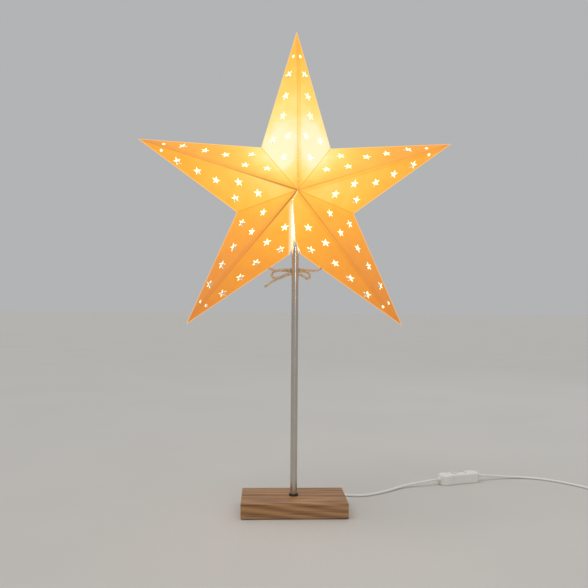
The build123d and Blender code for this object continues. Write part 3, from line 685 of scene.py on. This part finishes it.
def star_paper(name, arm, valley, crease_shade_near, crease_shade_far, has_flap, glowing_edge=False):
    """Paper with painted light: brighter near the bulb, with painted shade along creases and under glue
    flaps.
    """
    net = Net(name, (0.26, 0.14, 0.05), 0.80)
    place = net.place.outputs["Object"]
    normal = net.place.outputs["Normal"]
    x, y, z = net.split(place)

    # the light that reaches the paper
    to_light = net.vector("SUBTRACT", tuple(LIGHT), place)
    distance = net.vector("LENGTH", to_light)
    facing = net.maths("DIVIDE", net.vector("DOT_PRODUCT", normal, to_light), distance)
    square_on = net.maths("MAXIMUM", net.maths("ABSOLUTE", facing), LEAST_SLANT)
    slant = net.maths("POWER", square_on, GLOW_SLANT)
    reach = net.maths("POWER", net.maths("DIVIDE", distance, GLOW_DISTANCE), GLOW_FALL)
    below = net.maths("MULTIPLY", net.split(to_light)[2], GLOW_BELOW)
    lift = net.maths("EXPONENT", net.maths("DIVIDE", below, distance))
    glow = net.maths("MULTIPLY", net.maths("MULTIPLY", slant, reach), lift)
    glow = net.maths("MULTIPLY", glow, GLOW_LEVEL)
    cloud = net.spread(net.noise(46.0, 4.0), 0.3, 0.7, 0.955, 1.035)
    fibre = net.spread(net.noise(900.0, 2.0, (1.0, 1.0, 0.5)), 0.3, 0.7, 0.975, 1.02)
    glow = net.maths("MULTIPLY", glow, net.maths("MULTIPLY", cloud, fibre))

    # distances from the sheet's ridge and from its valley, the same in front and behind
    folded = net.join(x, net.maths("MULTIPLY", net.maths("ABSOLUTE", y), -1.0), z)
    from_front = net.vector("SUBTRACT", folded, tuple(FRONT))
    ridge = star_point(ARMS[arm], TIP_RADIUS) - FRONT
    groove = star_point(*VALLEYS[valley]) - FRONT
    along, off_ridge = off_line(net, from_front, tuple(ridge.normalized()))
    off_groove = off_line(net, from_front, tuple(groove.normalized()))[1]
    # painted shade where the glue flap of the sheet across the ridge doubles the paper and holds back the
    # light
    if has_flap:
        flap = net.spread(off_ridge, GLUE_FLAP_WIDTH - 0.0008, GLUE_FLAP_WIDTH + 0.0004, 0.90, 1.0)
        glow = net.maths("MULTIPLY", glow, flap)
    # painted shade along the valley fold
    if not valley.startswith("seam"):
        groove_shade = net.spread(off_groove, 0.0003, 0.0014, 0.74, 1.0)
        glow = net.maths("MULTIPLY", glow, groove_shade)
    colour = net.ramp(glow, GLOW)
    # painted shade along the ridge crease, strongest at the middle of the star
    strength = net.spread(along, FADE_START, FADE_END, crease_shade_near, crease_shade_far)
    width = net.spread(along, 0.0, NARROW_END, *CREASE_WIDTHS)
    crease_shade = net.maths("MULTIPLY", net.spread(off_ridge, 0.0002, width, 1.0, 0.0), strength)
    colour = net.mix(crease_shade, colour, RIDGE_SHADE)
    fold = net.spread(net.maths("ABSOLUTE", y), 0.0004, 0.0013, 0.55, 0.0)
    colour = net.mix(fold, colour, FOLD_GLOW)

    if valley == "seam_left":
        slit_x = net.spread(z, SLIT_FOOT[1], SLIT_TOP[1], SLIT_FOOT[0], SLIT_TOP[0], False)
        from_slit = net.maths("SUBTRACT", x, slit_x)
        across = net.spread(from_slit, -0.0065, -0.0006, 0.0, 0.85)
        level = net.spread(z, SLIT_TOP[1] - 0.012, SLIT_TOP[1], 1.0, 0.0)
        colour = net.mix(net.maths("MULTIPLY", across, level), colour, INSIDE_GLOW)
    # painted light: the flap's edge glows where the bulb lights it from inside
    if glowing_edge:
        below = net.spread(z, FLAP_FOOT[2], FLAP_CORNER[2], FLAP_FOOT[0], FLAP_CORNER[0], False)
        above = net.spread(z, FLAP_CORNER[2], FRONT.z, 0.0, -FLAP_CORNER[0], False)
        from_edge = net.maths("SUBTRACT", x, net.maths("ADD", below, above))
        colour = net.mix(net.spread(from_edge, 0.0004, 0.0022, 0.95, 0.0), colour, EDGE_GLOW)
    inner = net.spread(facing, -0.02, 0.02, 0.0, 1.0)
    colour = net.mix(inner, colour, INSIDE_GLOW)
    net.set("Emission Color", colour)
    strength = net.spread(inner, 0.0, 1.0, OUTSIDE_STRENGTH, INSIDE_STRENGTH, False)
    net.set("Emission Strength", strength)
    grain = net.noise(1500.0, 3.0)
    net.set("Roughness", net.spread(grain, 0.3, 0.7, 0.70, 0.88))
    net.bump(grain, 0.00006, 0.5)
    return net.material


papers = {sheet: star_paper(sheet + "_paper", *details) for sheet, details in SHEETS.items()}
for sheet, paper in papers.items():
    paint(paper, sheet)

def beyond_slit(face):
    """Whether a face lies right of the slit's left edge, under its top."""
    middle = face.calc_center_median()
    share = (middle.z - SLIT_FOOT[1]) / (SLIT_TOP[1] - SLIT_FOOT[1])
    return middle.z < SLIT_TOP[1] and middle.x > SLIT_FOOT[0] + share * (SLIT_TOP[0] - SLIT_FOOT[0])


def slit_sheet(name, node):
    """The left sheet at the seam, which stops short of the right one, so the star opens in a slit."""
    sheet = bpy.data.objects.new(name, nodes[node].data.copy())
    bpy.context.scene.collection.objects.link(sheet)
    form = bmesh.new()
    form.from_mesh(sheet.data)
    slit_way = Vector((SLIT_TOP[0] - SLIT_FOOT[0], 0, SLIT_TOP[1] - SLIT_FOOT[1]))
    top_cut = ((0, 0, SLIT_TOP[1]), (0, 0, 1))
    side_cut = ((SLIT_FOOT[0], 0, SLIT_FOOT[1]), slit_way.cross(Vector((0, 1, 0))))
    for point, normal in (top_cut, side_cut):
        bmesh.ops.bisect_plane(form, geom=form.verts[:] + form.edges[:] + form.faces[:],
                               plane_co=point, plane_no=normal)
    bmesh.ops.delete(form, geom=[f for f in form.faces if beyond_slit(f)], context="FACES")
    form.to_mesh(sheet.data)
    form.free()
    return sheet


left_seam = slit_sheet("star_lower_left_seam_open", "star_lower_left_seam_sheet")
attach(left_seam, "star")
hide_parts("star_lower_left_seam_sheet")
paint(papers["star_lower_left_seam_sheet"], left_seam.name)


FLAP_STATIONS = 14
FLAP_COLUMNS = 4
FLAP_THICKNESS = 0.00035
FLAP_PROUD = 0.0002
FLAP_TOP_PROUD = 0.0003
FLAP_LEAN = 0.0020


def flap_edges(height):
    """The places of the flap's left and right edges at a height, in front of the star."""
    down = (FRONT.z - height) / SEAM_RADIUS
    corner = Vector((FLAP_CORNER[0], FLAP_CORNER[1], 0))
    if height > FLAP_CORNER[2]:
        share = (FRONT.z - height) / (FRONT.z - FLAP_CORNER[2])
        left = Vector((0, FRONT.y - FLAP_TOP_PROUD, 0)).lerp(corner, share)
    else:
        share = (FLAP_CORNER[2] - height) / (FLAP_CORNER[2] - FLAP_FOOT[2])
        left = corner.lerp(Vector((FLAP_FOOT[0], FLAP_FOOT[1], 0)), share)
    right = Vector((FLAP_LEAN * down, FRONT.y * (1 - down) - FLAP_PROUD, 0))
    return left, right


def seam_flap(name, face):
    """The right sheet's edge, which laps over the left one at the top of the slit. face is -1 in front."""
    vertices = []
    for step in range(FLAP_STATIONS + 1):
        height = FRONT.z + (FLAP_FOOT[2] - FRONT.z) * step / FLAP_STATIONS
        left, right = flap_edges(height)
        for column in range(FLAP_COLUMNS + 1):
            place = left.lerp(right, column / FLAP_COLUMNS)
            for skin in (0.0, FLAP_THICKNESS):
                vertices.append(Vector((place.x, face * (abs(place.y) - skin), height)))
    row = 2 * (FLAP_COLUMNS + 1)
    faces = []
    for step in range(FLAP_STATIONS):
        for column in range(FLAP_COLUMNS):
            for skin in (0, 1):
                a = step * row + column * 2 + skin
                faces.append((a, a + 2, a + row + 2, a + row))
        for edge in (0, 2 * FLAP_COLUMNS):
            a = step * row + edge
            faces.append((a, a + 1, a + row + 1, a + row))
    for end in (0, FLAP_STATIONS * row):
        for column in range(FLAP_COLUMNS):
            a = end + column * 2
            faces.append((a, a + 1, a + 3, a + 2))
    flap = mesh_object(name, vertices, faces, smooth=False)
    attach(flap, "star")
    paint(flap_paper, name)


flap_paper = star_paper("seam_flap_paper", *SHEETS["star_lower_right_seam_sheet"], glowing_edge=True)
seam_flap("star_seam_flap_front", -1)
seam_flap("star_seam_flap_back", 1)


# ---------------------------------------------------------------- other materials
def oak():
    """Oiled oak with its grain along the block and pale rays in it."""
    net = Net("oak_block", roughness=0.5)
    warp = net.noise(7.0, 2.0, (0.12, 1.0, 1.0))
    wander = net.vector("MULTIPLY", net.place.outputs["Object"], (0.16, 11.0, 13.0))
    shifted = net.vector("ADD", wander, net.join(warp, net.maths("MULTIPLY", warp, 0.55), warp))
    rings = net.add("ShaderNodeTexWave", wave_type="BANDS", bands_direction="DIAGONAL")
    net.feed(rings.inputs["Vector"], shifted)
    net.feed(rings.inputs["Scale"], 7.0)
    net.feed(rings.inputs["Distortion"], 1.4)
    net.feed(rings.inputs["Detail"], 4.0)
    net.feed(rings.inputs["Detail Scale"], 1.6)
    colour = net.ramp(rings.outputs["Fac"], [
        (0.0, (0.245, 0.110, 0.036)),
        (0.35, (0.325, 0.155, 0.052)),
        (0.75, (0.400, 0.200, 0.072)),
        (1.0, (0.450, 0.235, 0.092)),
    ])
    pores = net.noise(520.0, 2.0, (0.030, 1.0, 1.0))
    colour = net.mix(net.spread(pores, 0.56, 0.66, 0.0, 0.55), colour, (0.055, 0.024, 0.010))
    streak = net.noise(60.0, 3.0, (0.06, 1.0, 1.0))
    colour = net.mix(net.spread(streak, 0.35, 0.7, 0.0, 0.35), colour, (0.42, 0.24, 0.12))
    net.set("Base Color", colour)
    net.set("Roughness", net.spread(pores, 0.4, 0.7, 0.42, 0.68))
    net.bump(pores, 0.0002, 0.6)
    return net.material


def brushed(name, colour, stretch, roughness=0.28, mark=0.10, metallic=1.0):
    """Metal with fine brush marks along the way that stretch is smallest."""
    net = Net(name, colour, roughness, metallic)
    marks = net.noise(1400.0, 4.0, stretch, 0.7)
    smear = net.noise(30.0, 3.0)
    dull = tuple(c * 0.72 for c in colour)
    net.set("Base Color", net.mix(net.spread(smear, 0.35, 0.7, 0.0, 0.25), colour, dull))
    net.set("Roughness", net.spread(marks, 0.3, 0.7, roughness - mark * 0.5, roughness + mark))
    net.bump(marks, 0.00003, 0.4)
    return net.material


def moulded(name, colour, roughness=0.34, dirt=0.10, grain=420.0):
    """Moulded plastic: faint orange peel, and a little dirt and unevenness in its gloss."""
    net = Net(name, colour, roughness)
    blotch = net.noise(24.0, 4.0)
    dull = tuple(c * 0.80 for c in colour)
    net.set("Base Color", net.mix(net.spread(blotch, 0.45, 0.75, 0.0, dirt * 4), colour, dull))
    net.set("Roughness", net.spread(net.noise(90.0, 3.0), 0.3, 0.7, roughness - 0.05, roughness + 0.10))
    net.bump(net.noise(grain, 2.0), 0.00008, 0.35)
    return net.material


def twisted_fibre():
    """Natural twine: yarn colours that vary, with fine fibres across the surface."""
    net = Net("twine_fibre", roughness=0.9)
    colour = net.ramp(net.noise(260.0, 4.0), [
        (0.30, (0.58, 0.430, 0.260)),
        (0.50, (0.78, 0.620, 0.410)),
        (0.72, (0.92, 0.790, 0.580)),
    ])
    net.set("Base Color", colour)
    net.shader.inputs["Sheen Weight"].default_value = 0.35
    net.bump(net.noise(2600.0, 3.0), 0.00018, 0.8)
    return net.material


def felt():
    net = Net("felt_pad", (0.045, 0.043, 0.042), 0.95)
    tuft = net.noise(1300.0, 4.0)
    net.set("Base Color", net.ramp(tuft, [(0.3, (0.02, 0.02, 0.02)), (0.7, (0.085, 0.082, 0.08))]))
    net.bump(tuft, 0.0004, 0.8)
    return net.material


def glowing_bulb():
    """Opal glass, brightest round its middle, where the filament is."""
    net = Net("opal_bulb", (0.92, 0.88, 0.78), 0.22)
    height = net.split(net.place.outputs["Object"])[2]
    off_middle = net.maths("ABSOLUTE", net.maths("SUBTRACT", height, 0.492))
    colour = net.ramp(net.spread(off_middle, 0.0, 0.036), [
        (0.0, (1.0, 0.86, 0.62)),
        (0.6, (1.0, 0.72, 0.40)),
        (1.0, (0.85, 0.50, 0.20)),
    ])
    net.set("Emission Color", colour)
    net.set("Emission Strength", 5.0)
    net.set("Roughness", net.spread(net.noise(60.0), 0.3, 0.7, 0.18, 0.30))
    return net.material


paint(oak(), "base_block")
paint(felt(), "base_felt_pad")
paint(brushed("pole_steel", (0.56, 0.52, 0.47), (1.0, 1.0, 0.012), 0.22), "pole_tube")
paint(brushed("zinc_steel", (0.60, 0.61, 0.62), (1.0, 1.0, 1.0), 0.36),
      "pole_nut", "pole_washer", "switch_screws", "switch_pivot_pin")
paint(brushed("dark_collar", (0.055, 0.048, 0.042), (1.0, 1.0, 0.1), 0.40, 0.1, 0.6), "pole_collar")
holder_white = moulded("holder_plastic", (0.80, 0.78, 0.72), 0.45)
paint(holder_white, "holder_cup", "holder_shell", "bulb_collar")
paint(moulded("holder_ceramic", (0.78, 0.76, 0.70), 0.30, 0.05, 200.0), "holder_core")
paint(brushed("contact_brass", (0.78, 0.58, 0.26), (1.0, 1.0, 1.0), 0.32),
      "holder_centre_contact", "holder_terminals", "holder_screw_shell", "bulb_tip_contact",
      "switch_terminals")
paint(brushed("cap_aluminium", (0.78, 0.77, 0.74), (1.0, 1.0, 8.0), 0.30), "bulb_cap")
paint(moulded("cap_insulator", (0.03, 0.03, 0.032), 0.25), "bulb_insulator")
paint(glowing_bulb(), "bulb_globe")
flex_skin = moulded("flex_skin", (0.80, 0.79, 0.755), 0.42, 0.08, 300.0)
paint(flex_skin, "flex_lead", "flex_run", "flex_inside_lamp", "cord_grip", "plug_boot", "switch_nozzles")
case_white = moulded("case_white", (0.82, 0.81, 0.775), 0.30, 0.06, 260.0)
paint(case_white, "switch_base", "switch_cover", "plug_body")
paint(moulded("rocker_white", (0.84, 0.83, 0.80), 0.24, 0.05), "switch_rocker")
paint(moulded("blue_sleeve", (0.05, 0.12, 0.42), 0.4), "holder_neutral_wire", "switch_neutral_link")
paint(moulded("brown_sleeve", (0.20, 0.09, 0.045), 0.4), "holder_live_wire")
paint(brushed("pin_nickel", (0.78, 0.76, 0.72), (1.0, 0.05, 1.0), 0.18, 0.06), "plug_pins")
paint(moulded("pin_sleeve_black", (0.045, 0.045, 0.048), 0.45), "plug_pin_sleeves", "coil_band")
paint(twisted_fibre(), *[o.name for o in bpy.data.objects if o.name.startswith("twine_")])

# ---------------------------------------------------------------- stage
FLOOR_SIZE = 60.0
FLOOR_MIDDLE = (0.15, 1.0, 0.0)
FLOOR_PALE = (0.60, 0.585, 0.56)
FLOOR_GREY = (0.55, 0.54, 0.52)
LIGHTS_AIM = Vector((0, 0, 0.3))

bpy.ops.mesh.primitive_plane_add(size=FLOOR_SIZE, location=FLOOR_MIDDLE)
floor = bpy.context.object
floor.name = "floor"
floor_net = Net("pale_floor", FLOOR_PALE, 0.62)
patches = floor_net.spread(floor_net.noise(3.0, 5.0), 0.3, 0.7, 0.0, 0.35)
floor_net.set("Base Color", floor_net.mix(patches, FLOOR_PALE, FLOOR_GREY))
floor.data.materials.append(floor_net.material)
floor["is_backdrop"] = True

world = bpy.data.worlds.new("studio")
bpy.context.scene.world = world
world.use_nodes = True
sky = world.node_tree.nodes["Background"]
sky.inputs["Color"].default_value = (0.98, 0.99, 1.0, 1.0)
sky.inputs["Strength"].default_value = 0.46


def add_light(name, kind, energy, colour, place=(0, 0, 0), way=None, **settings):
    """A light, which shines along way if that is given."""
    data = bpy.data.lights.new(name, kind)
    data.energy = energy
    data.color = colour
    for key, value in settings.items():
        setattr(data, key, value)
    light = bpy.data.objects.new(name, data)
    light.location = place
    if way is not None:
        light.rotation_euler = way.to_track_quat("-Z", "Y").to_euler()
    bpy.context.scene.collection.objects.link(light)


def softbox(name, place, size, power, colour):
    add_light(name, "AREA", power, colour, place, LIGHTS_AIM - Vector(place), size=size)


add_light("key_light", "SUN", 1.05, (1.0, 0.985, 0.96), way=Vector((0.30, 0.22, -1.0)),
          angle=math.radians(50))
softbox("rim_light", (0.9, 1.3, 1.5), 1.8, 2.0, (1.0, 0.96, 0.90))
softbox("strip_light", (0.30, -1.5, 0.55), 0.22, 1.6, (1.0, 0.97, 0.92))

# light inside the star, on the lamp holder and the inner sides of the paper
add_light("inside_light", "POINT", 0.35, (1.0, 0.80, 0.50), (0.0, -0.034, 0.462),
          shadow_soft_size=0.01)
# the bulb's light down through the star's mouth, onto the pole and the block
add_light("bulb_light", "SPOT", 2.2, (1.0, 0.60, 0.26), (0.0, -0.024, 0.432),
          shadow_soft_size=0.012, spot_size=math.radians(100), spot_blend=0.8)
bpy.context.scene.view_settings.view_transform = "Standard"

low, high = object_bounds()
